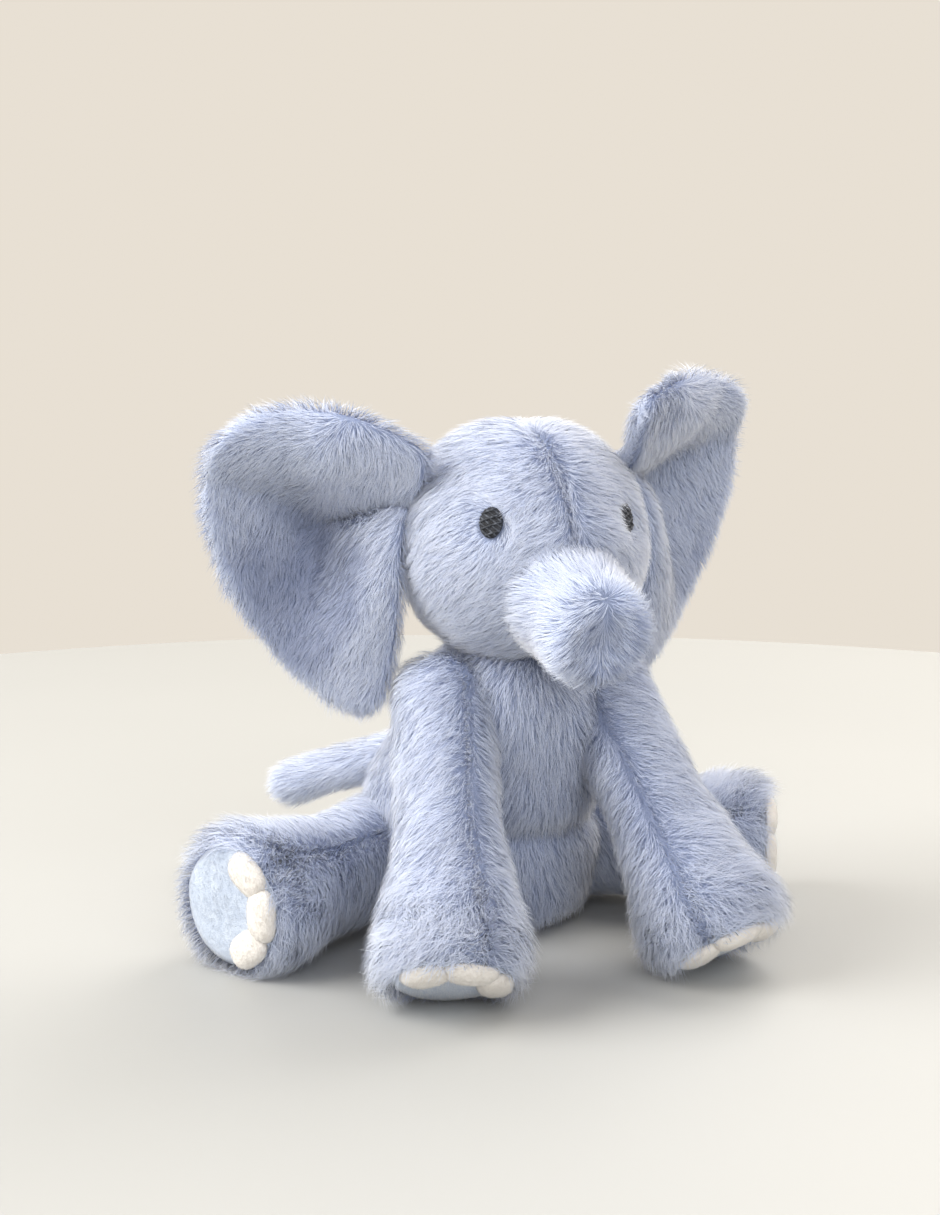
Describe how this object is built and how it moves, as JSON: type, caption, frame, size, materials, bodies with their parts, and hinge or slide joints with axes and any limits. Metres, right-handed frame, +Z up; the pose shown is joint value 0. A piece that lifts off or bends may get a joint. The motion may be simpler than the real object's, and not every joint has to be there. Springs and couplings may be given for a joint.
{
  "type": "stuffed elephant",
  "caption": "Seated plush elephant with a round head, cupped ears, a short trunk, soft legs with padded soles and nails, and a small tail.",
  "frame": {"origin": "middle of the bounding box, on the surface the toy sits on", "axes": "+Z up, -Y the way the face points, +X the toy's own left"},
  "size_m": [0.3038, 0.2828, 0.2655],
  "materials": {
    "long_fur": "long-pile faux fur",
    "sole_plush": "short plush",
    "nail_plush": "short plush",
    "embroidery": "satin-stitched thread"
  },
  "bodies": {
    "torso": {"torso": "long_fur"},
    "head": {"head": "long_fur", "eye_right": "embroidery", "eye_left": "embroidery"},
    "trunk": {"trunk": "long_fur", "trunk_end": "long_fur"},
    "ear_right": {"ear_right": "long_fur"},
    "ear_left": {"ear_left": "long_fur"},
    "tail": {"tail": "long_fur"},
    "front_leg_right": {"front_leg_right": "long_fur", "front_foot_pad_right": "sole_plush", "front_nail_inner_right": "nail_plush", "front_nail_middle_right": "nail_plush", "front_nail_outer_right": "nail_plush"},
    "front_leg_left": {"front_leg_left": "long_fur", "front_foot_pad_left": "sole_plush", "front_nail_inner_left": "nail_plush", "front_nail_middle_left": "nail_plush", "front_nail_outer_left": "nail_plush"},
    "hind_leg_right": {"hind_leg_right": "long_fur", "hind_foot_pad_right": "sole_plush", "hind_nail_inner_right": "nail_plush", "hind_nail_middle_right": "nail_plush", "hind_nail_outer_right": "nail_plush"},
    "hind_leg_left": {"hind_leg_left": "long_fur", "hind_foot_pad_left": "sole_plush", "hind_nail_inner_left": "nail_plush", "hind_nail_middle_left": "nail_plush", "hind_nail_outer_left": "nail_plush"}
  },
  "joints": [
    {"name": "neck_turn", "type": "hinge", "parent": "torso", "child": "head", "pos_m": [0, -0.04208, 0.192], "axis": [0, 0, 1], "range_deg": [-20, 20], "stiffness_Nm_per_rad": 0.25},
    {"name": "trunk_lift", "type": "hinge", "parent": "head", "child": "trunk", "pos_m": [0, -0.06808, 0.178], "axis": [-1, 0, 0], "range_deg": [-10, 10], "stiffness_Nm_per_rad": 0.2},
    {"name": "ear_right_flap", "type": "hinge", "parent": "head", "child": "ear_right", "pos_m": [-0.05487, -0.03831, 0.192], "axis": [0, 0, 1], "range_deg": [-20, 12], "stiffness_Nm_per_rad": 0.06},
    {"name": "ear_left_flap", "type": "hinge", "parent": "head", "child": "ear_left", "pos_m": [0.05487, -0.03831, 0.204], "axis": [0, 0, -1], "range_deg": [-20, 12], "stiffness_Nm_per_rad": 0.06},
    {"name": "front_leg_right_lift", "type": "hinge", "parent": "torso", "child": "front_leg_right", "pos_m": [-0.039, -0.04408, 0.12], "axis": [-1, 0, 0], "range_deg": [-6, 40]},
    {"name": "front_leg_left_lift", "type": "hinge", "parent": "torso", "child": "front_leg_left", "pos_m": [0.039, -0.04408, 0.12], "axis": [-1, 0, 0], "range_deg": [-6, 40]},
    {"name": "hind_leg_right_splay", "type": "hinge", "parent": "torso", "child": "hind_leg_right", "pos_m": [-0.046, 0.01892, 0.0315], "axis": [0, 0, 1], "range_deg": [-10, 10]},
    {"name": "hind_leg_left_splay", "type": "hinge", "parent": "torso", "child": "hind_leg_left", "pos_m": [0.046, 0.01892, 0.0315], "axis": [0, 0, -1], "range_deg": [-10, 10]},
    {"name": "tail_swing", "type": "hinge", "parent": "torso", "child": "tail", "pos_m": [-0.004, 0.06994, 0.074], "axis": [0, 0, 1], "range_deg": [-25, 25], "stiffness_Nm_per_rad": 0.05}
  ]
}
